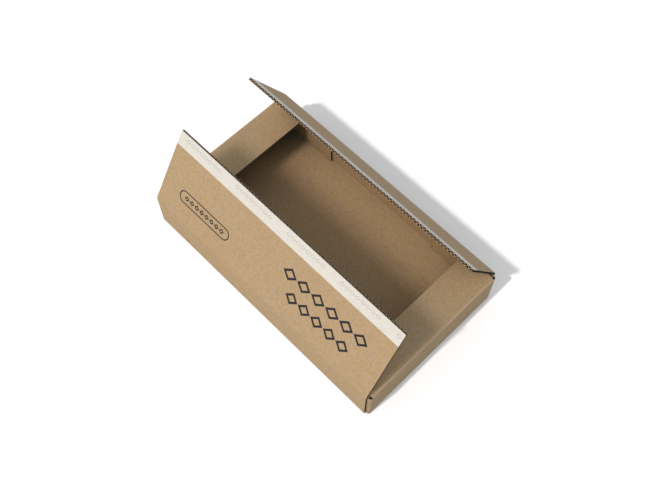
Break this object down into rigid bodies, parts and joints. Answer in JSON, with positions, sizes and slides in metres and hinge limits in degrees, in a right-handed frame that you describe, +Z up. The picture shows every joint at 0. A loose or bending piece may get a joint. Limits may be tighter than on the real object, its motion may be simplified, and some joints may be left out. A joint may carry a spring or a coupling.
{
  "type": "open cardboard box",
  "caption": "Open shipping box folded from a sheet of corrugated board, with glued corner tabs, dust flaps across its ends and long major flaps hinged at its walls, edged with tape.",
  "frame": {"origin": "middle of the base's underside, on the surface that the box stands on", "axes": "+X along the length of the box, +Y from the front flap to the rear flap, +Z up"},
  "size_m": [0.458, 0.2726, 0.1878],
  "materials": {
    "kraft_board": "matte",
    "paper_tape": "satin"
  },
  "bodies": {
    "tray": {"tray": "kraft_board"},
    "front_flap": {"front_flap": "kraft_board", "front_tape": "paper_tape"},
    "rear_flap": {"rear_flap": "kraft_board", "rear_tape": "paper_tape"}
  },
  "joints": [
    {"name": "front_crease", "type": "hinge", "parent": "tray", "child": "front_flap", "pos_m": [0, -0.13445, 0.073], "axis": [-1, 0, 0], "range_deg": [-151.5, 58.5]},
    {"name": "rear_crease", "type": "hinge", "parent": "tray", "child": "rear_flap", "pos_m": [0, 0.13445, 0.073], "axis": [1, 0, 0], "range_deg": [-151.5, 58.5]}
  ]
}
